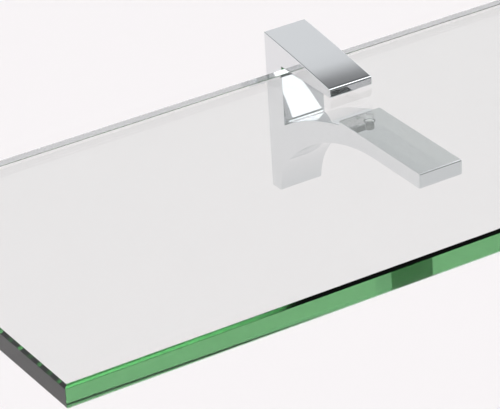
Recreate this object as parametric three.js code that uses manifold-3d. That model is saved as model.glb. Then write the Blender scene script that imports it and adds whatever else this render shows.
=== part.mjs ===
// Glass wall shelf held by two cast brackets.
// Millimetres. X runs along the shelf, the wall is the plane Y = 0 and the room is towards -Y.
// Z = 0 is the top face of the glass. "Forward" is the distance out from the wall, so Y = -forward.

import * as THREE from "three";
import { mergeVertices } from "three/addons/utils/BufferGeometryUtils.js";
import Module from "manifold-3d";

const wasm = await Module();
wasm.setup();

// Glass panel.
const GLASS_LENGTH = 800;
const GLASS_DEPTH = 160;
const GLASS_THICKNESS = 9.5;
const GLASS_ARRIS = 1.1;

// Clearance between pieces that touch.
const GAP = 0.3;

// Bracket body: outline seen from the side, as distances forward of the wall and heights.
const BRACKET_WIDTH = 19.2;
const BRACKET_INSET = 196;
const EDGE_CHAMFER = 0.2;
const NOSE_CHAMFER = 0.5;
const THROAT = 11.6;
const TOP_AT_WALL = 11.4;
const UPPER_REACH = 47.4;
const UPPER_TIP_TOP = 4.4;
const TOP_CROWN = 0.3;
const JAW_ROOF = 0.6;
const LOWER_REACH = 107.8;
const SEAT_HEIGHT = -13;
const SEAT_START = 52.5;
const SEAT_STEP = 1.6;
const THROAT_FLOOR = -31.2;
const RAMP_RADIUS = 140;
const LOWER_TIP_THICKNESS = 6.4;
const ARCH_START = 78;
const ARCH_RADIUS = 92;
const FOOT_THICKNESS = 6.4;
const FOOT_RADIUS = 30;
const FOOT_HEIGHT = -62.5;

// Hollow in the back of the body, and the hook slot in its roof.
const HOLLOW_WIDTH = 13;
const HOLLOW_DEPTH = 4.6;
const HOLLOW_TOP = 3.8;
const HOLLOW_BOTTOM = -47;
const HOOK_SLOT_START = 2.1;
const HOOK_SLOT_TOP = 8.3;

// Steel plate that is screwed to the wall and hidden in the hollow.
const PLATE_WIDTH = 12.4;
const PLATE_THICKNESS = 4;
const PLATE_TOP = 3.5;
const PLATE_BOTTOM = -44;
const PLATE_BEVEL = 2;
const HOOK_BACK = 2.4;
const HOOK_TOP = 8;

// Countersunk wall screws.
const WALL_SCREW_HEIGHTS = { upper: -5, lower: -33 };
const WALL_HEAD_RADIUS = 3.8;
const WALL_HEAD_FACE = 3.9;
const WALL_CORE_RADIUS = 1.5;
const WALL_THREAD_RADIUS = 2;
const WALL_SHANK_RADIUS = 1.8;
const WALL_THREAD_PITCH = 1.5;
const WALL_THREAD_TURNS = 7;
const WALL_POINT_LENGTH = 2.2;
const WALL_HOLE_RADIUS = 2.5;
const CROSS_LENGTH = 4.4;
const CROSS_WIDTH = 0.9;
const CROSS_DEPTH = 1.5;

// Cone-point screw that locks the body down onto the wall plate.
const LOCK_FORWARD = 2.7;
const LOCK_RADIUS = 1.25;
const LOCK_BOTTOM = -60;
const LOCK_TIP = -44.1;
const LOCK_TIP_RADIUS = 0.35;
const LOCK_SOCKET = 1.3;
const LOCK_SOCKET_DEPTH = 2;

// Screw that lifts a soft cushion against the underside of the glass.
const CLAMP_FORWARD = 59.6;
const CLAMP_RADIUS = 1.95;
const CLAMP_BOTTOM = -20.8;
const CLAMP_TOP = -15;
const CLAMP_SOCKET = 2;
const CLAMP_SOCKET_DEPTH = 2.4;
const TIP_STEM_RADIUS = 0.7;
const TIP_STEM_LENGTH = 1.2;
const SCREW_CHAMFER = 0.3;

// Thin clear pad in a pocket above the glass.
const ROOF_PAD_START = 15;
const ROOF_PAD_END = 43;
const ROOF_PAD_WIDTH = 14;
const ROOF_PAD_THICKNESS = 1;
const PAD_CHAMFER = 0.3;

const ROUND_SEGMENTS = 32;
const ARC_SEGMENTS = 40;
const OVERCUT = 1;

const paint = (color, roughness, metalness) =>
  new THREE.MeshStandardMaterial({ color, roughness, metalness });
const glass = paint(0xcfe6d6, 0.02, 0);
const chrome = paint(0xe2e5e6, 0.06, 1);
const zincSteel = paint(0xb4b6b4, 0.35, 1);
const blackSteel = paint(0x3a3b3d, 0.45, 1);
const vinyl = paint(0xe8efec, 0.25, 0);

// Closed geometry to solid, without the collapsed triangles at a lathe's poles.
function solidOf(geometry) {
  const bare = geometry.clone();
  bare.deleteAttribute("normal");
  bare.deleteAttribute("uv");
  const merged = mergeVertices(bare, 1e-4);
  const corners = merged.index.array;
  const kept = [];
  for (let i = 0; i < corners.length; i += 3) {
    const [a, b, c] = corners.slice(i, i + 3);
    if (a !== b && b !== c && c !== a) {
      kept.push(a, b, c);
    }
  }
  const vertProperties = new Float32Array(merged.attributes.position.array);
  const triVerts = new Uint32Array(kept);
  return new wasm.Manifold(new wasm.Mesh({ numProp: 3, vertProperties, triVerts }));
}

function geometryOf(solid) {
  const { vertProperties, triVerts } = solid.getMesh();
  const geometry = new THREE.BufferGeometry();
  geometry.setAttribute("position", new THREE.BufferAttribute(vertProperties, 3));
  geometry.setIndex(new THREE.BufferAttribute(triVerts, 1));
  geometry.computeVertexNormals();
  return geometry;
}

function cutFrom(geometry, tools) {
  const solid = tools.reduce((body, tool) => body.subtract(solidOf(tool)), solidOf(geometry));
  return geometryOf(solid);
}

// Box from one corner to the other, given as [x, forward, height] pairs.
function blockBetween([x0, forward0, low], [x1, forward1, high]) {
  const block = new THREE.BoxGeometry(x1 - x0, forward1 - forward0, high - low);
  return block.translate((x0 + x1) / 2, -(forward0 + forward1) / 2, (low + high) / 2);
}

// Side outline in (forward, height), made as wide as asked about X = 0, with chamfered edges.
function sideExtrusion(outline, width, chamfer) {
  const geometry = new THREE.ExtrudeGeometry(outline, {
    depth: width - 2 * chamfer,
    curveSegments: ARC_SEGMENTS,
    bevelEnabled: chamfer > 0,
    bevelThickness: chamfer,
    bevelSize: chamfer,
    bevelOffset: -chamfer,
    bevelSegments: 1,
  });
  geometry.translate(0, 0, chamfer - width / 2);
  const axes = new THREE.Matrix4().makeBasis(
    new THREE.Vector3(0, -1, 0),
    new THREE.Vector3(0, 0, 1),
    new THREE.Vector3(-1, 0, 0),
  );
  return geometry.applyMatrix4(axes);
}

// Plan outline in (x, y), between two heights, with chamfered edges.
function planExtrusion(outline, low, high, chamfer) {
  const geometry = new THREE.ExtrudeGeometry(outline, {
    depth: high - low - 2 * chamfer,
    bevelThickness: chamfer,
    bevelSize: chamfer,
    bevelOffset: -chamfer,
    bevelSegments: 1,
  });
  return geometry.translate(0, 0, low + chamfer);
}

function rectangle(x0, y0, x1, y1) {
  const outline = new THREE.Shape();
  outline.moveTo(x0, y0);
  outline.lineTo(x1, y0);
  outline.lineTo(x1, y1);
  outline.lineTo(x0, y1);
  outline.closePath();
  return outline;
}

// Turned piece on the Z axis, from [radius, height] points that start and end on the axis.
function turnedUpright(points) {
  const profile = points.map(([radius, height]) => new THREE.Vector2(radius, height));
  return new THREE.LatheGeometry(profile, ROUND_SEGMENTS).rotateX(Math.PI / 2);
}

// Turned piece on the Y axis, from [radius, y] points that start and end on the axis.
function turnedToWall(points) {
  const profile = points.map(([radius, y]) => new THREE.Vector2(radius, y));
  return new THREE.LatheGeometry(profile, ROUND_SEGMENTS);
}

function uprightRod(radius, low, high) {
  return turnedUpright([[0, low], [radius, low], [radius, high], [0, high]]);
}

// Six-sided key socket opening downwards from a screw's lower face.
function keySocket(acrossFlats, bottom, depth) {
  const radius = acrossFlats / Math.sqrt(3);
  const socket = new THREE.CylinderGeometry(radius, radius, depth + OVERCUT, 6);
  return socket.rotateX(Math.PI / 2).translate(0, 0, bottom + (depth - OVERCUT) / 2);
}

function piece(name, geometry, material, x = 0, forward = 0, height = 0) {
  const mesh = new THREE.Mesh(geometry, material);
  mesh.name = name;
  mesh.position.set(x, -forward, height);
  return mesh;
}

function glassPanel() {
  const back = -(THROAT + GAP);
  const half = GLASS_LENGTH / 2;
  const outline = rectangle(-half, back - GLASS_DEPTH, half, back);
  const geometry = planExtrusion(outline, -GLASS_THICKNESS, 0, GLASS_ARRIS);
  return piece("glass_shelf", geometry, glass);
}

// Angle of a point on an arc, seen from the arc's centre.
const angleFrom = (centre, point) => Math.atan2(point.y - centre.y, point.x - centre.x);

// Centre of the arc through two points that bulges up and back towards the wall.
function rampCentre(start, end) {
  const chord = end.clone().sub(start);
  const middle = start.clone().add(end).multiplyScalar(0.5);
  const drop = Math.sqrt(RAMP_RADIUS ** 2 - chord.lengthSq() / 4);
  const across = new THREE.Vector2(chord.y, -chord.x).normalize();
  return middle.add(across.multiplyScalar(drop));
}

function bodyOutline() {
  const outline = new THREE.Shape();
  const bevel = NOSE_CHAMFER;
  const armUnderside = SEAT_HEIGHT - LOWER_TIP_THICKNESS;
  const archCentre = new THREE.Vector2(ARCH_START, armUnderside - ARCH_RADIUS);
  const footCentreX = FOOT_THICKNESS + FOOT_RADIUS;
  const joinAngle = Math.acos((footCentreX - archCentre.x) / (ARCH_RADIUS - FOOT_RADIUS));
  const footCentreY = archCentre.y + (ARCH_RADIUS - FOOT_RADIUS) * Math.sin(joinAngle);
  const footAngle = Math.PI - Math.asin((FOOT_HEIGHT + bevel - footCentreY) / FOOT_RADIUS);
  outline.moveTo(0, FOOT_HEIGHT);
  outline.lineTo(FOOT_THICKNESS - bevel, FOOT_HEIGHT);
  outline.absarc(footCentreX, footCentreY, FOOT_RADIUS, footAngle, joinAngle, true);
  outline.absarc(archCentre.x, archCentre.y, ARCH_RADIUS, joinAngle, Math.PI / 2, true);
  outline.lineTo(LOWER_REACH - bevel, armUnderside);
  outline.lineTo(LOWER_REACH, armUnderside + bevel);
  outline.lineTo(LOWER_REACH, SEAT_HEIGHT - bevel);
  outline.lineTo(LOWER_REACH - bevel, SEAT_HEIGHT);
  outline.lineTo(SEAT_START, SEAT_HEIGHT);

  const rampTop = new THREE.Vector2(SEAT_START, SEAT_HEIGHT - SEAT_STEP);
  const rampFoot = new THREE.Vector2(THROAT, THROAT_FLOOR);
  const centre = rampCentre(rampFoot, rampTop);
  const topAngle = angleFrom(centre, rampTop);
  const floorAngle = angleFrom(centre, rampFoot);
  outline.absarc(centre.x, centre.y, RAMP_RADIUS, topAngle, floorAngle, false);

  outline.lineTo(THROAT, JAW_ROOF);
  outline.lineTo(UPPER_REACH - bevel, JAW_ROOF);
  outline.lineTo(UPPER_REACH, JAW_ROOF + bevel);
  outline.lineTo(UPPER_REACH, UPPER_TIP_TOP - bevel);
  outline.lineTo(UPPER_REACH - bevel, UPPER_TIP_TOP);

  const crest = (UPPER_TIP_TOP + TOP_AT_WALL) / 2 + 2 * TOP_CROWN;
  outline.quadraticCurveTo((UPPER_REACH - bevel) / 2, crest, 0, TOP_AT_WALL);
  outline.closePath();
  return outline;
}

function bracketBody(name) {
  const half = HOLLOW_WIDTH / 2;
  const hollow = blockBetween([-half, -OVERCUT, HOLLOW_BOTTOM], [half, HOLLOW_DEPTH, HOLLOW_TOP]);
  const hookSlot = blockBetween(
    [-half, HOOK_SLOT_START, HOLLOW_TOP - OVERCUT],
    [half, PLATE_THICKNESS + GAP, HOOK_SLOT_TOP],
  );
  const lockHole = uprightRod(LOCK_RADIUS + GAP, FOOT_HEIGHT - OVERCUT, HOLLOW_BOTTOM + OVERCUT);
  const armUnderside = SEAT_HEIGHT - LOWER_TIP_THICKNESS;
  const clampHole = uprightRod(CLAMP_RADIUS + GAP, armUnderside * 2, SEAT_HEIGHT + OVERCUT);
  const padHalf = ROOF_PAD_WIDTH / 2;
  const padPocket = blockBetween(
    [-padHalf, ROOF_PAD_START, JAW_ROOF - OVERCUT],
    [padHalf, ROOF_PAD_END, 2 * GAP + ROOF_PAD_THICKNESS],
  );
  const geometry = cutFrom(sideExtrusion(bodyOutline(), BRACKET_WIDTH, EDGE_CHAMFER), [
    hollow,
    hookSlot,
    lockHole.translate(0, -LOCK_FORWARD, 0),
    clampHole.translate(0, -CLAMP_FORWARD, 0),
    padPocket,
  ]);
  return piece(name, geometry, chrome);
}

// Plate with a hook along its top edge and a bevel along its bottom edge.
function plateOutline() {
  const outline = new THREE.Shape();
  outline.moveTo(0, PLATE_BOTTOM);
  outline.lineTo(PLATE_THICKNESS - PLATE_BEVEL, PLATE_BOTTOM);
  outline.lineTo(PLATE_THICKNESS, PLATE_BOTTOM + PLATE_BEVEL);
  outline.lineTo(PLATE_THICKNESS, HOOK_TOP);
  outline.lineTo(HOOK_BACK, HOOK_TOP);
  outline.lineTo(HOOK_BACK, PLATE_TOP);
  outline.lineTo(0, PLATE_TOP);
  outline.closePath();
  return outline;
}

function screwHole(height) {
  const coneFace = PLATE_THICKNESS + OVERCUT;
  const coneRadius = WALL_HEAD_RADIUS + WALL_HOLE_RADIUS - WALL_SHANK_RADIUS;
  const hole = turnedToWall([
    [0, -coneFace],
    [coneRadius + OVERCUT - GAP, -coneFace],
    [WALL_HOLE_RADIUS, coneRadius - WALL_HOLE_RADIUS - PLATE_THICKNESS - GAP],
    [WALL_HOLE_RADIUS, OVERCUT],
    [0, OVERCUT],
  ]);
  return hole.translate(0, 0, height);
}

function wallPlate(name) {
  const holes = Object.values(WALL_SCREW_HEIGHTS).map(screwHole);
  const blank = sideExtrusion(plateOutline(), PLATE_WIDTH, 0);
  return piece(name, cutFrom(blank, holes), zincSteel);
}

// Countersunk screw with ridged thread, head towards the room and point in the wall.
function wallScrew(name, height) {
  const neck = WALL_HEAD_RADIUS - WALL_SHANK_RADIUS - WALL_HEAD_FACE;
  const points = [
    [0, -WALL_HEAD_FACE],
    [WALL_HEAD_RADIUS, -WALL_HEAD_FACE],
    [WALL_SHANK_RADIUS, neck],
    [WALL_SHANK_RADIUS, 0],
  ];
  for (let turn = 0; turn < WALL_THREAD_TURNS; turn += 1) {
    const root = (turn + 0.5) * WALL_THREAD_PITCH;
    points.push([WALL_CORE_RADIUS, root], [WALL_THREAD_RADIUS, root + WALL_THREAD_PITCH / 2]);
  }
  const threadEnd = (WALL_THREAD_TURNS + 0.5) * WALL_THREAD_PITCH;
  points.push([WALL_CORE_RADIUS, threadEnd], [0, threadEnd + WALL_POINT_LENGTH]);
  const long = CROSS_LENGTH / 2;
  const short = CROSS_WIDTH / 2;
  const floor = WALL_HEAD_FACE - CROSS_DEPTH;
  const face = WALL_HEAD_FACE + OVERCUT;
  const cross = [
    blockBetween([-long, floor, -short], [long, face, short]),
    blockBetween([-short, floor, -long], [short, face, long]),
  ];
  return piece(name, cutFrom(turnedToWall(points), cross), zincSteel, 0, 0, height);
}

function lockScrew(name) {
  const shoulder = LOCK_TIP - LOCK_RADIUS + LOCK_TIP_RADIUS;
  const rod = turnedUpright([
    [0, LOCK_BOTTOM],
    [LOCK_RADIUS - SCREW_CHAMFER, LOCK_BOTTOM],
    [LOCK_RADIUS, LOCK_BOTTOM + SCREW_CHAMFER],
    [LOCK_RADIUS, shoulder],
    [LOCK_TIP_RADIUS, LOCK_TIP],
    [0, LOCK_TIP],
  ]);
  const socket = keySocket(LOCK_SOCKET, LOCK_BOTTOM, LOCK_SOCKET_DEPTH);
  return piece(name, cutFrom(rod, [socket]), blackSteel, 0, LOCK_FORWARD, 0);
}

function clampScrew(name) {
  const rod = turnedUpright([
    [0, CLAMP_BOTTOM],
    [CLAMP_RADIUS - SCREW_CHAMFER, CLAMP_BOTTOM],
    [CLAMP_RADIUS, CLAMP_BOTTOM + SCREW_CHAMFER],
    [CLAMP_RADIUS, CLAMP_TOP - SCREW_CHAMFER],
    [CLAMP_RADIUS - SCREW_CHAMFER, CLAMP_TOP],
    [0, CLAMP_TOP],
  ]);
  const socket = keySocket(CLAMP_SOCKET, CLAMP_BOTTOM, CLAMP_SOCKET_DEPTH);
  const stemFloor = CLAMP_TOP - TIP_STEM_LENGTH - GAP;
  const stemBore = uprightRod(TIP_STEM_RADIUS + GAP, stemFloor, CLAMP_TOP + OVERCUT);
  return piece(name, cutFrom(rod, [socket, stemBore]), blackSteel, 0, CLAMP_FORWARD, 0);
}

// Swivel button that rides in the end of the clamp screw and pushes without turning.
function clampTip(name) {
  const underside = CLAMP_TOP + GAP;
  const button = turnedUpright([
    [0, underside - TIP_STEM_LENGTH],
    [TIP_STEM_RADIUS, underside - TIP_STEM_LENGTH],
    [TIP_STEM_RADIUS, underside],
    [CLAMP_RADIUS, underside],
    [CLAMP_RADIUS, SEAT_HEIGHT],
    [0, SEAT_HEIGHT],
  ]);
  return piece(name, button, chrome, 0, CLAMP_FORWARD, 0);
}

// Clear stud on the button, which fills the space between the seat and the glass.
function clampCushion(name) {
  const low = SEAT_HEIGHT + GAP;
  const high = -GLASS_THICKNESS - GAP;
  const stud = turnedUpright([
    [0, low],
    [CLAMP_RADIUS, low],
    [CLAMP_RADIUS, high - PAD_CHAMFER],
    [CLAMP_RADIUS - PAD_CHAMFER, high],
    [0, high],
  ]);
  return piece(name, stud, vinyl, 0, CLAMP_FORWARD, 0);
}

// Flat strip in the pocket above the glass.
function roofPad(name) {
  const half = ROOF_PAD_WIDTH / 2 - GAP;
  const outline = rectangle(-half, GAP - ROOF_PAD_END, half, -ROOF_PAD_START - GAP);
  const geometry = planExtrusion(outline, GAP, GAP + ROOF_PAD_THICKNESS, PAD_CHAMFER);
  return piece(name, geometry, vinyl);
}

function bracket(side, x) {
  const group = new THREE.Group();
  group.position.x = x;
  group.add(bracketBody(`${side}_bracket_body`));
  group.add(wallPlate(`${side}_wall_plate`));
  for (const [level, height] of Object.entries(WALL_SCREW_HEIGHTS)) {
    group.add(wallScrew(`${side}_${level}_wall_screw`, height));
  }
  group.add(lockScrew(`${side}_lock_screw`));
  group.add(clampScrew(`${side}_clamp_screw`));
  group.add(clampTip(`${side}_clamp_tip`));
  group.add(roofPad(`${side}_roof_pad`));
  group.add(clampCushion(`${side}_clamp_cushion`));
  return group;
}

const shelf = new THREE.Group();
const bracketX = GLASS_LENGTH / 2 - BRACKET_INSET;
shelf.add(glassPanel());
shelf.add(bracket("left", -bracketX));
shelf.add(bracket("right", bracketX));

export default shelf;
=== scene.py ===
"""Glass wall shelf on two chromed brackets: the looks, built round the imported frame. Metres, +Z up."""

import math

import bmesh
import bpy
from mathutils import Matrix, Vector
from mathutils.geometry import tessellate_polygon


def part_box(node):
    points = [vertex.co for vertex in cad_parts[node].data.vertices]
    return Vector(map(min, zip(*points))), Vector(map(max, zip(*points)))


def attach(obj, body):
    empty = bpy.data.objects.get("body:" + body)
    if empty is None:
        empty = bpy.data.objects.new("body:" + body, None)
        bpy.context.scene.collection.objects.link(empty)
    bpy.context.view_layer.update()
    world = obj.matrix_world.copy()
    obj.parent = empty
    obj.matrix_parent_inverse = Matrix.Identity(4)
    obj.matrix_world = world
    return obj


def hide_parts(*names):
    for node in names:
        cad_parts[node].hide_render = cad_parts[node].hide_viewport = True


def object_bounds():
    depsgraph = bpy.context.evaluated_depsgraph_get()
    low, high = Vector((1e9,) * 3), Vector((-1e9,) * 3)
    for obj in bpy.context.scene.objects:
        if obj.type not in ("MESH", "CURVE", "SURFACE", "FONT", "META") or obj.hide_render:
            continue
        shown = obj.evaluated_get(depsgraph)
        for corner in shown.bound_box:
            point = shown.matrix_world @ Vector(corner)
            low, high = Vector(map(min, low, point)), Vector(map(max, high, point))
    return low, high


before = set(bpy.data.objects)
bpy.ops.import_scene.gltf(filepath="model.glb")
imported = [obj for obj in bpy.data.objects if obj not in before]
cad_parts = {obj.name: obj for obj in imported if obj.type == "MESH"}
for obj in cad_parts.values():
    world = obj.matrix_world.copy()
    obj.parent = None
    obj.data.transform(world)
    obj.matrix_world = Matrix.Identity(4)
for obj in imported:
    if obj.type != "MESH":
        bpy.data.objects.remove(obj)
cad_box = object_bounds()

MM = 0.001
SIDES = ("left", "right")
LEVELS = ("upper", "lower")

# Camera: where its axis meets the top of the glass, and how it stands to that point.
CAMERA_TARGET = Vector((-283.1, -100.6, 0.0)) * MM
CAMERA_AZIMUTH = math.radians(-30.1)
CAMERA_ELEVATION = math.radians(28.1)
CAMERA_ROLL = math.radians(3.6)
CAMERA_DISTANCE = 1252 * MM
CAMERA_LENS = 247.6
CAMERA_SENSOR = 36

# Light is reflected many times inside the glass before it leaves.
BOUNCES = 32

# Floor: how far it lies below the object, its side, and the stretch along Y over which its painted shade,
# darkest on the room side, turns paler.
FLOOR_DROP = 1.25
FLOOR_SIZE = 60.0
FLOOR_SHADE_FADE = (-2.6, 0.2)

# Studio light by its angle in degrees, from the wall side (0) over the top (90) to the room side (180),
# with straight below at -90. A ramp's colours stop at 1, so they are kept as shares of SKY_STRENGTH.
SKY_STRENGTH = 2.6
SKY = [
    (-90, 0.97),
    (20, 0.93),
    (29, 0.77),
    (35, 0.78),
    (42, 0.81),
    (47, 0.80),
    (48.6, 0.74),
    (48.95, 0.66),
    (49.16, 0.42),
    (49.29, 0.17),
    (52, 0.15),
    (70, 0.13),
    (78, 2.55),
    (113, 2.55),
    (119, 0.08),
    (172, 0.08),
    (178, 0.85),
]

# The light's tint: a little less red than green, and a little more blue.
SKY_RED = 0.985
SKY_BLUE = 1.02

# How much of the light's direction runs along the shelf, where its fade to the pale ends starts and stops.
SKY_ENDS = (0.84, 0.94)

# The stretch of a noise's values that is spread over a finish.
NOISE_RANGE = (0.3, 0.7)

# Copied solids: points this near are one point, and faces this nearly level with each other are one face.
SAME_POINT = 0.001 * MM
SAME_PLANE = math.radians(0.05)

# Shading: an edge sharper than CRISP_ANGLE stays an edge, a face larger than BROAD_FACE shades flat, and
# the largest faces decide the shading at their corners.
CRISP_ANGLE = math.radians(35)
BROAD_FACE = 25 * MM**2
LARGE_FACES_FIRST = 100

# Bracket edges: the angles at a chamfer and at the deep crease, how nearly an edge runs along X to count
# as doing so, and how high above the underside the foot's own edges reach.
CHAMFER_ANGLES = (math.radians(35), math.radians(65))
CREASE_ANGLE = math.radians(100)
ALONG_X = 0.99
FOOT_EDGES = 2 * MM

# Roundings: how far each reaches to either side of its edge, and its segments.
NOSE_ROUNDING = (0.22 * MM, 3)
SIDE_ROUNDING = (0.13 * MM, 2)
CREASE_ROUNDING = (0.5 * MM, 4)
STEEL_ROUNDING = (0.12 * MM, 2)
PAD_ROUNDING = (0.1 * MM, 2)
GLASS_ROUNDING = (0.08 * MM, 1)

# Turned pieces: points to a circle, how many turns a ridge takes to reach its full height, and how much
# of its width a recess keeps at its floor.
ROUND = 48
THREAD_FADE = 0.5
RECESS_TAPER = 0.8

# Screws, in millimetres, with heights from the end that takes the key. Outer sizes come from the frame.
WALL_CROSS_REACH = 2.2
WALL_CROSS_HALF_WIDTH = 0.45
WALL_CROSS_DEPTH = 1.5
WALL_NECK = 2.0
WALL_SHANK = 3.9
WALL_SHANK_STEP = 0.3
WALL_SHANK_RADIUS = 1.8
WALL_CORE_RADIUS = 1.45
WALL_CREST_RADIUS = 2.0
WALL_PITCH = 1.5
WALL_TURNS = 6
WALL_POINT_RADIUS = 0.12
GRUB_CHAMFER = 0.3
SOCKET_DEPTH = 2.2
LOCK_PITCH = 0.45
LOCK_THREAD_DEPTH = 0.24
LOCK_TURNS = 31
LOCK_SOCKET = 1.3
LOCK_POINT_RADIUS = 0.35
CLAMP_PITCH = 0.8
CLAMP_THREAD_DEPTH = 0.35
CLAMP_TURNS = 5
CLAMP_SOCKET = 2.0
CLAMP_BORE_RADIUS = 1.0
CLAMP_BORE_DEPTH = 1.5

# Swivel button and cushion, in millimetres. RIM_CORNER is a share of the button's rim, and each rim of
# the cushion takes one part in CUSHION_RIM_PARTS of its half height.
BUTTON_STEM_RADIUS = 0.7
BUTTON_STEM = 1.2
BUTTON_RIM = 0.25
RIM_CORNER = 0.3
CUSHION_STEPS = 16
CUSHION_WAIST = 0.14
CUSHION_RIM = 0.25
CUSHION_RIM_PARTS = 6


# ---------------------------------------------------------------- node helpers


class Graph:
    """The node tree of a material or a world, with short ways to add nodes and links."""

    def __init__(self, owner):
        owner.use_nodes = True
        self.tree = owner.node_tree

    def node(self, kind, **settings):
        made = self.tree.nodes.new(kind)
        for key, value in settings.items():
            setattr(made, key, value)
        return made

    def link(self, source, target):
        self.tree.links.new(source, target)

    def math(self, operation, *values):
        made = self.node("ShaderNodeMath", operation=operation)
        for value, target in zip(values, made.inputs):
            self.link(value, target)
        return made.outputs["Value"]

    def split(self, vector):
        made = self.node("ShaderNodeSeparateXYZ")
        self.link(vector, made.inputs["Vector"])
        return made.outputs

    def remap(self, value, low=0.0, high=1.0, source=NOISE_RANGE):
        made = self.node("ShaderNodeMapRange")
        made.inputs["From Min"].default_value = source[0]
        made.inputs["From Max"].default_value = source[1]
        made.inputs["To Min"].default_value = low
        made.inputs["To Max"].default_value = high
        self.link(value, made.inputs["Value"])
        return made.outputs["Result"]

    def ramp(self, value, stops):
        made = self.node("ShaderNodeValToRGB")
        elements = made.color_ramp.elements
        while len(elements) < len(stops):
            elements.new(0.5)
        for element, (place, colour) in zip(elements, stops):
            element.position = place
            element.color = (*colour, 1)
        self.link(value, made.inputs["Fac"])
        return made.outputs["Color"]


class Surface(Graph):
    """A new material, with short ways to drive its main shader."""

    def __init__(self, name):
        self.material = bpy.data.materials.new(name)
        super().__init__(self.material)
        self.shader = self.tree.nodes["Principled BSDF"]
        self.output = self.tree.nodes["Material Output"]

    def set(self, **values):
        for key, value in values.items():
            self.shader.inputs[key.replace("_", " ")].default_value = value

    def position(self):
        return self.node("ShaderNodeTexCoord").outputs["Object"]

    def stretched(self, x, y, z):
        mapping = self.node("ShaderNodeMapping")
        mapping.inputs["Scale"].default_value = (x, y, z)
        self.link(self.position(), mapping.inputs["Vector"])
        return mapping.outputs["Vector"]

    def noise(self, scale, detail=3.0, vector=None):
        made = self.node("ShaderNodeTexNoise")
        made.inputs["Scale"].default_value = scale
        made.inputs["Detail"].default_value = detail
        self.link(vector or self.position(), made.inputs["Vector"])
        return made.outputs["Fac"]

    def tint(self, value, first, last, source=NOISE_RANGE):
        colour = self.ramp(value, [(source[0], first), (source[1], last)])
        self.link(colour, self.shader.inputs["Base Color"])

    def roughness(self, value, low, high):
        self.link(self.remap(value, low, high), self.shader.inputs["Roughness"])

    def bump(self, height, strength, distance):
        made = self.node("ShaderNodeBump")
        made.inputs["Strength"].default_value = strength
        made.inputs["Distance"].default_value = distance
        self.link(height, made.inputs["Height"])
        self.link(made.outputs["Normal"], self.shader.inputs["Normal"])


# ---------------------------------------------------------------- materials


def float_glass():
    """Clear float glass, with hardly any colour through its thickness and green through its length."""
    g = Surface("float_glass")
    g.set(Base_Color=(1.0, 0.93, 0.985, 1), IOR=1.52, Transmission_Weight=1.0)
    g.roughness(g.noise(scale=9.0), low=0.0, high=0.01)
    absorption = g.node("ShaderNodeVolumeAbsorption")
    absorption.inputs["Color"].default_value = (0.24, 0.70, 0.30, 1)
    absorption.inputs["Density"].default_value = 14.0
    g.link(absorption.outputs["Volume"], g.output.inputs["Volume"])
    return g.material


def polished_chrome():
    """Chrome plate on a casting: near mirror, with faint haze and unevenness under the plate."""
    g = Surface("polished_chrome")
    g.set(Metallic=1.0)
    g.tint(g.noise(scale=14.0), first=(0.775, 0.79, 0.805), last=(0.80, 0.81, 0.82))
    g.roughness(g.noise(scale=60.0), low=0.03, high=0.06)
    g.bump(g.noise(scale=220.0, detail=2.0), strength=0.02, distance=0.05 * MM)
    return g.material


def zinc_plate():
    """Bright zinc plating on steel, with streaks along Z."""
    g = Surface("zinc_plate")
    g.set(Metallic=1.0)
    streaks = g.noise(scale=40.0, detail=4.0, vector=g.stretched(8.0, 8.0, 0.6))
    g.tint(streaks, first=(0.52, 0.53, 0.53), last=(0.68, 0.69, 0.67))
    g.roughness(streaks, low=0.24, high=0.42)
    g.bump(streaks, strength=0.15, distance=0.05 * MM)
    return g.material


def black_oxide():
    """Black-oxide finish on hardened steel, slightly brown and mottled."""
    g = Surface("black_oxide")
    g.set(Metallic=0.8)
    mottle = g.noise(scale=500.0)
    g.tint(mottle, first=(0.025, 0.024, 0.023), last=(0.06, 0.057, 0.053))
    g.roughness(mottle, low=0.32, high=0.5)
    g.bump(mottle, strength=0.2, distance=0.02 * MM)
    return g.material


def clear_vinyl():
    """Soft clear vinyl: see-through, with a faintly dulled skin."""
    g = Surface("clear_vinyl")
    g.set(Base_Color=(0.97, 0.98, 0.97, 1), IOR=1.05, Transmission_Weight=1.0)
    skin = g.noise(scale=700.0)
    g.roughness(skin, low=0.0, high=0.04)
    g.bump(skin, strength=0.03, distance=0.02 * MM)
    return g.material


def floor_with_painted_shade():
    """Pale matt floor, with painted shade that makes it a little darker on the room side."""
    g = Surface("floor_with_painted_shade")
    g.set(Roughness=0.9)
    # Painted shade: the floor's colour darkens towards the room side in place of light falling off.
    painted_shade_across = g.remap(g.split(g.position())["Y"], source=FLOOR_SHADE_FADE)
    g.tint(painted_shade_across, first=(0.66, 0.65, 0.655), last=(0.875, 0.833, 0.828), source=(0.0, 1.0))
    return g.material


# ---------------------------------------------------------------- meshes


def placed(name, solid, node):
    """The finished bmesh as an object that stands for the node, with its faces turned outwards."""
    bmesh.ops.recalc_face_normals(solid, faces=solid.faces)
    if solid.calc_volume(signed=True) < 0:
        bmesh.ops.reverse_faces(solid, faces=solid.faces)
    mesh = bpy.data.meshes.new(name)
    solid.to_mesh(mesh)
    solid.free()
    piece = bpy.data.objects.new(name, mesh)
    bpy.context.scene.collection.objects.link(piece)
    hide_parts(node)
    return piece


def merged_copy(node):
    """The node's solid with its triangles merged into flat faces."""
    solid = bmesh.new()
    solid.from_mesh(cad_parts[node].data)
    bmesh.ops.remove_doubles(solid, verts=solid.verts, dist=SAME_POINT)
    bmesh.ops.dissolve_limit(solid, angle_limit=SAME_PLANE, verts=solid.verts, edges=solid.edges)
    return solid


def crisp(solid, angle):
    """Smooth shading, with the edges sharper than the angle left as edges."""
    for edge in solid.edges:
        edge.smooth = not edge.is_manifold or edge.calc_face_angle() < angle
    for face in solid.faces:
        face.smooth = True


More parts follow.
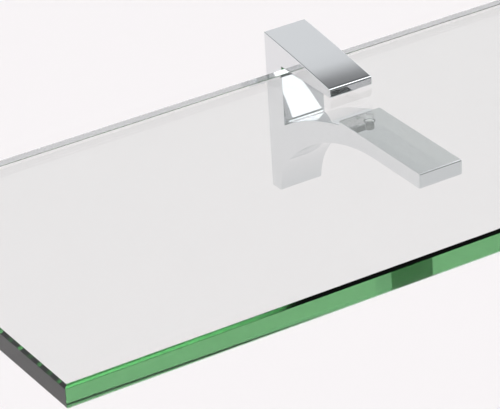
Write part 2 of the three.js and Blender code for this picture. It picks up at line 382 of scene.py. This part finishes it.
def evened(name, solid, node, angle):
    """The solid as a piece whose broad faces shade flat and whose narrow ones between shade as a round."""
    crisp(solid, angle)
    for face in solid.faces:
        face.smooth = face.calc_area() < BROAD_FACE
    piece = placed(name, solid, node)
    weigh = piece.modifiers.new("even_normals", "WEIGHTED_NORMAL")
    weigh.keep_sharp = True
    weigh.weight = LARGE_FACES_FIRST
    return piece


def sharper_edges(solid, angle):
    return [e for e in solid.edges if e.is_manifold and e.calc_face_angle() > angle]


def chamfer_edges(solid, along_x):
    """The edges on both sides of the chamfers that run along X, or of all the others."""
    low, high = CHAMFER_ANGLES
    found = []
    for edge in solid.edges:
        if edge.is_manifold and low < edge.calc_face_angle() < high:
            direction = (edge.verts[1].co - edge.verts[0].co).normalized()
            if (abs(direction.x) > ALONG_X) == along_x:
                found.append(edge)
    return found


def round_off(solid, edges, rounding, clamped=False):
    reach, segments = rounding
    bmesh.ops.bevel(
        solid,
        geom=edges,
        offset=reach,
        segments=segments,
        profile=0.5,
        affect="EDGES",
        clamp_overlap=clamped,
    )


def bracket_skin(name, node):
    """The bracket casting, its chamfers turned into rounded edges and its deep crease filled a little."""
    solid = merged_copy(node)
    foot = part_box(node)[0].z + FOOT_EDGES
    noses = [e for e in chamfer_edges(solid, True) if e.verts[0].co.z > foot]
    round_off(solid, noses, NOSE_ROUNDING)
    round_off(solid, chamfer_edges(solid, False), SIDE_ROUNDING)
    round_off(solid, sharper_edges(solid, CREASE_ANGLE), CREASE_ROUNDING)
    return evened(name, solid, node, CHAMFER_ANGLES[1])


def glass_skin(name, node):
    """The glass panel with the thin edges of its ground arrises just taken off."""
    solid = merged_copy(node)
    round_off(solid, list(solid.edges), GLASS_ROUNDING, clamped=True)
    return placed(name, solid, node)


def eased_skin(name, node, rounding):
    """The node's solid with all its sharp edges slightly rounded."""
    solid = merged_copy(node)
    round_off(solid, sharper_edges(solid, CRISP_ANGLE), rounding)
    return evened(name, solid, node, CRISP_ANGLE)


# ---------------------------------------------------------------- turned pieces


def on_circle(radius, angle):
    return radius * math.cos(angle), radius * math.sin(angle)


def ring(solid, radius, height):
    """Level circle of new points."""
    turn = 2 * math.pi / ROUND
    return [solid.verts.new((*on_circle(radius, i * turn), height)) for i in range(ROUND)]


def bridge(solid, low, high):
    """Band of faces between two rings."""
    for i in range(len(low)):
        j = (i + 1) % len(low)
        solid.faces.new((low[i], low[j], high[j], high[i]))


def lathe(solid, start, profile):
    """Skin on from the start ring through each radius and height; returns the last ring."""
    for radius, height in profile:
        following = ring(solid, radius, height)
        bridge(solid, start, following)
        start = following
    return start


def ridge_faces(solid, roots, ridge):
    """The two flanks of a helical ridge, and its two ends."""
    count = len(ridge) - 1
    for i in range(count):
        solid.faces.new((roots[i], roots[i + 1], ridge[i + 1], ridge[i]))
        solid.faces.new((ridge[i], ridge[i + 1], roots[i + ROUND + 1], roots[i + ROUND]))
    solid.faces.new((roots[0], ridge[0], roots[ROUND]))
    solid.faces.new((ridge[count], roots[count], roots[-1]))


def run_out_faces(solid, start, roots, last):
    """The faces from the start ring to a helix's first turn, and from its last turn to the last ring."""
    count = len(roots) - ROUND - 1
    solid.faces.new((start[0], start[1], roots[1]))
    solid.faces.new((roots[-2], roots[-1], last[-1]))
    for i in range(1, ROUND):
        solid.faces.new((start[i], start[(i + 1) % ROUND], roots[i + 1], roots[i]))
    for i in range(ROUND - 1):
        solid.faces.new((roots[count + i], roots[count + i + 1], last[i + 1], last[i]))


def thread(solid, start, core, crest, pitch, turns):
    """Right-hand helical ridge that rises from the start ring; returns the ring after it."""
    low = start[0].co.z
    count = turns * ROUND

    def point(step, radius, height):
        return solid.verts.new((*on_circle(radius, 2 * math.pi * step / ROUND), height))

    def height(step):
        return low + pitch * step / ROUND

    def ridge_radius(step):
        from_end = min(step, count - step) + 1
        return core + (crest - core) * min(1, from_end / (THREAD_FADE * ROUND))

    roots = [start[0]]
    roots += [point(step, core, height(step)) for step in range(1, count + ROUND + 1)]
    ridge = [point(step, ridge_radius(step), height(step) + pitch / 2) for step in range(count + 1)]
    last = [roots[-1]] + [point(step, core, roots[-1].co.z) for step in range(1, ROUND)]
    ridge_faces(solid, roots, ridge)
    run_out_faces(solid, start, roots, last)
    return last


def driven_end(solid, radius, outline, depth):
    """Flat end with a recess sunk in it; returns its outer ring."""
    rim = ring(solid, radius, 0)
    mouth = [solid.verts.new((x, y, 0)) for x, y in outline]
    floor = [solid.verts.new((x * RECESS_TAPER, y * RECESS_TAPER, depth)) for x, y in outline]
    corners = rim + mouth
    for triangle in tessellate_polygon([[v.co for v in rim], [v.co for v in mouth]]):
        solid.faces.new([corners[i] for i in triangle])
    bridge(solid, mouth, floor)
    solid.faces.new(floor)
    return rim


def cross_outline(reach, half_width):
    """Twelve corners of a plus sign: one arm's three, at each quarter turn."""
    arm = [(reach, -half_width), (reach, half_width), (half_width, half_width)]
    corners = []
    for cosine, sine in ((1, 0), (0, 1), (-1, 0), (0, -1)):
        corners += [(cosine * x - sine * y, sine * x + cosine * y) for x, y in arm]
    return corners


def hexagon(across_flats):
    radius = across_flats / math.sqrt(3)
    return [on_circle(radius, i * math.pi / 3) for i in range(6)]


def moved(name, solid, node, place):
    """The turned piece, made in millimetres, moved to its place in metres."""
    bmesh.ops.transform(solid, matrix=place @ Matrix.Scale(MM, 4), verts=solid.verts)
    crisp(solid, CRISP_ANGLE)
    return placed(name, solid, node)


def stood_up(name, solid, node):
    """The turned piece, made upwards from zero, moved onto its node's axis."""
    low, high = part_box(node)
    middle = (low + high) / 2
    return moved(name, solid, node, Matrix.Translation((middle.x, middle.y, low.z)))


def sizes(node):
    """The node's length along X, Y and Z in millimetres."""
    low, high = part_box(node)
    return (high - low) / MM


def wall_screw(name, node):
    """Countersunk wood screw with a cross recess, its head towards the room."""
    low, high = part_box(node)
    middle = (low + high) / 2
    width, length, _ = sizes(node)
    solid = bmesh.new()
    cross = cross_outline(WALL_CROSS_REACH, WALL_CROSS_HALF_WIDTH)
    rim = driven_end(solid, width / 2, cross, WALL_CROSS_DEPTH)
    neck = [
        (WALL_SHANK_RADIUS, WALL_NECK),
        (WALL_SHANK_RADIUS, WALL_SHANK),
        (WALL_CORE_RADIUS, WALL_SHANK + WALL_SHANK_STEP),
    ]
    rim = lathe(solid, rim, neck)
    rim = thread(solid, rim, WALL_CORE_RADIUS, WALL_CREST_RADIUS, WALL_PITCH, WALL_TURNS)
    rim = lathe(solid, rim, [(WALL_POINT_RADIUS, length)])
    solid.faces.new(rim)
    into_wall = Matrix(((1, 0, 0, 0), (0, 0, 1, 0), (0, -1, 0, 0), (0, 0, 0, 1)))
    head = Matrix.Translation((middle.x, low.y, middle.z))
    return moved(name, solid, node, head @ into_wall)


def lock_screw(name, node):
    """Cone-point grub screw, with its key socket at the bottom."""
    width, _, length = sizes(node)
    radius = width / 2
    core = radius - LOCK_THREAD_DEPTH
    solid = bmesh.new()
    rim = driven_end(solid, radius - GRUB_CHAMFER, hexagon(LOCK_SOCKET), SOCKET_DEPTH)
    rim = lathe(solid, rim, [(core, GRUB_CHAMFER / 2)])
    rim = thread(solid, rim, core, radius, LOCK_PITCH, LOCK_TURNS)
    shoulder = length - core + LOCK_POINT_RADIUS
    rim = lathe(solid, rim, [(core, shoulder), (LOCK_POINT_RADIUS, length)])
    solid.faces.new(rim)
    return stood_up(name, solid, node)


def clamp_screw(name, node):
    """Grub screw with its key socket at the bottom and a bore for the button's stem on top."""
    width, _, length = sizes(node)
    radius = width / 2
    core = radius - CLAMP_THREAD_DEPTH
    solid = bmesh.new()
    rim = driven_end(solid, radius - GRUB_CHAMFER, hexagon(CLAMP_SOCKET), SOCKET_DEPTH)
    rim = lathe(solid, rim, [(core, GRUB_CHAMFER)])
    rim = thread(solid, rim, core, radius, CLAMP_PITCH, CLAMP_TURNS)
    top = [
        (core, length - GRUB_CHAMFER),
        (core - GRUB_CHAMFER, length),
        (CLAMP_BORE_RADIUS, length),
        (CLAMP_BORE_RADIUS, length - CLAMP_BORE_DEPTH),
    ]
    rim = lathe(solid, rim, top)
    solid.faces.new(rim)
    return stood_up(name, solid, node)


def swivel_button(name, node):
    """Round button on a short stem, with the rim of its top face rounded."""
    width, _, length = sizes(node)
    radius = width / 2
    corner = BUTTON_RIM * RIM_CORNER
    solid = bmesh.new()
    rim = ring(solid, BUTTON_STEM_RADIUS, 0)
    solid.faces.new(rim)
    flange = [
        (BUTTON_STEM_RADIUS, BUTTON_STEM),
        (radius - BUTTON_RIM, BUTTON_STEM),
        (radius, BUTTON_STEM + BUTTON_RIM),
        (radius, length - BUTTON_RIM),
        (radius - corner, length - corner),
        (radius - BUTTON_RIM, length),
    ]
    rim = lathe(solid, rim, flange)
    solid.faces.new(rim)
    return stood_up(name, solid, node)


def cushion(name, node):
    """Soft clear stud, waisted a little and rounded at both rims."""
    width, _, length = sizes(node)
    profile = []
    for i in range(CUSHION_STEPS + 1):
        from_middle = 2 * i / CUSHION_STEPS - 1
        waist = CUSHION_WAIST * (1 - from_middle**2)
        into_rim = max(0, abs(from_middle) * CUSHION_RIM_PARTS - CUSHION_RIM_PARTS + 1)
        radius = width / 2 - waist - CUSHION_RIM * into_rim**2
        profile.append((radius, length * i / CUSHION_STEPS))
    solid = bmesh.new()
    rim = ring(solid, *profile[0])
    solid.faces.new(rim)
    rim = lathe(solid, rim, profile[1:])
    solid.faces.new(rim)
    return stood_up(name, solid, node)


# ---------------------------------------------------------------- pieces


def shade(piece, finishes, slot, body):
    """The piece takes its slot's finish and moves with the body."""
    piece.data.materials.append(finishes[slot])
    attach(piece, body)


def build_bracket(side, finishes):
    """One bracket with everything that is fitted to it."""
    body = bracket_skin(f"{side}_bracket", f"{side}_bracket_body")
    shade(body, finishes, "chrome", "frame")
    plate = eased_skin(f"{side}_hook_plate", f"{side}_wall_plate", STEEL_ROUNDING)
    shade(plate, finishes, "zinc_steel", "frame")
    for level in LEVELS:
        screw = wall_screw(f"{side}_{level}_wood_screw", f"{side}_{level}_wall_screw")
        shade(screw, finishes, "zinc_steel", "frame")
    lock = lock_screw(f"{side}_lock_grub", f"{side}_lock_screw")
    shade(lock, finishes, "black_steel", f"{side}_lock")
    clamp = clamp_screw(f"{side}_clamp_grub", f"{side}_clamp_screw")
    shade(clamp, finishes, "black_steel", f"{side}_clamp")
    button = swivel_button(f"{side}_clamp_button", f"{side}_clamp_tip")
    shade(button, finishes, "chrome", f"{side}_tip")
    stud = cushion(f"{side}_clamp_stud", f"{side}_clamp_cushion")
    shade(stud, finishes, "clear_vinyl", f"{side}_tip")
    pad = eased_skin(f"{side}_jaw_pad", f"{side}_roof_pad", PAD_ROUNDING)
    shade(pad, finishes, "clear_vinyl", "frame")


def build_pieces():
    finishes = {
        "glass": float_glass(),
        "chrome": polished_chrome(),
        "zinc_steel": zinc_plate(),
        "black_steel": black_oxide(),
        "clear_vinyl": clear_vinyl(),
    }
    panel = glass_skin("glass_panel", "glass_shelf")
    shade(panel, finishes, "glass", "frame")
    for side in SIDES:
        build_bracket(side, finishes)


# ---------------------------------------------------------------- stage


def build_floor():
    """Level square of floor, under the object."""
    lowest = cad_box[0].z - FLOOR_DROP
    mesh = bpy.data.meshes.new("floor")
    half = FLOOR_SIZE / 2
    corners = [(-half, -half), (half, -half), (half, half), (-half, half)]
    mesh.from_pydata([(x, y, lowest) for x, y in corners], [], [(0, 1, 2, 3)])
    floor = bpy.data.objects.new("floor", mesh)
    bpy.context.scene.collection.objects.link(floor)
    floor.data.materials.append(floor_with_painted_shade())


def sky_stop(degrees, light):
    """An angle and its light as a place and a colour on the sky's ramp."""
    level = light / SKY_STRENGTH
    return (degrees + 180) / 360, (level * SKY_RED, level, level * SKY_BLUE)


def build_sky():
    """Soft studio light: bright on the wall side up to a dark band, then a wide soft box overhead and a
    dim room behind, and plain pale towards both ends of the shelf."""
    world = bpy.data.worlds.new("studio")
    bpy.context.scene.world = world
    g = Graph(world)
    direction = g.split(g.node("ShaderNodeTexCoord").outputs["Generated"])
    angle = g.math("ARCTAN2", direction["Z"], direction["Y"])
    around = g.remap(angle, source=(-math.pi, math.pi))
    studio = g.ramp(around, [sky_stop(*stop) for stop in SKY])
    ends = g.remap(g.math("ABSOLUTE", direction["X"]), source=SKY_ENDS)
    pale = SKY[0][1] / SKY_STRENGTH
    mix = g.node("ShaderNodeMix", data_type="RGBA")
    mix.inputs["B"].default_value = (pale, pale, pale, 1)
    g.link(ends, mix.inputs["Factor"])
    g.link(studio, mix.inputs["A"])
    background = g.tree.nodes["Background"]
    background.inputs["Strength"].default_value = SKY_STRENGTH
    g.link(mix.outputs["Result"], background.inputs["Color"])


def build_camera():
    """The camera, turned to its target and rolled about its own axis."""
    azimuth = CAMERA_AZIMUTH
    level = math.cos(CAMERA_ELEVATION)
    rise = math.sin(CAMERA_ELEVATION)
    back = Vector((math.sin(azimuth) * level, -math.cos(azimuth) * level, rise))
    data = bpy.data.cameras.new("camera")
    data.lens = CAMERA_LENS
    data.sensor_width = CAMERA_SENSOR
    camera = bpy.data.objects.new("camera", data)
    turn = (-back).to_track_quat("-Z", "Y").to_matrix().to_4x4()
    roll = Matrix.Rotation(-CAMERA_ROLL, 4, "Z")
    place = Matrix.Translation(CAMERA_TARGET + back * CAMERA_DISTANCE)
    camera.matrix_world = place @ turn @ roll
    bpy.context.scene.collection.objects.link(camera)
    bpy.context.scene.camera = camera


def set_light_paths():
    """Plain display of colours, and enough bounces for the light inside the glass."""
    scene = bpy.context.scene
    scene.view_settings.view_transform = "Standard"
    scene.cycles.max_bounces = BOUNCES
    scene.cycles.transmission_bounces = BOUNCES
    scene.cycles.glossy_bounces = BOUNCES


build_camera()
build_pieces()
build_floor()
build_sky()
set_light_paths()
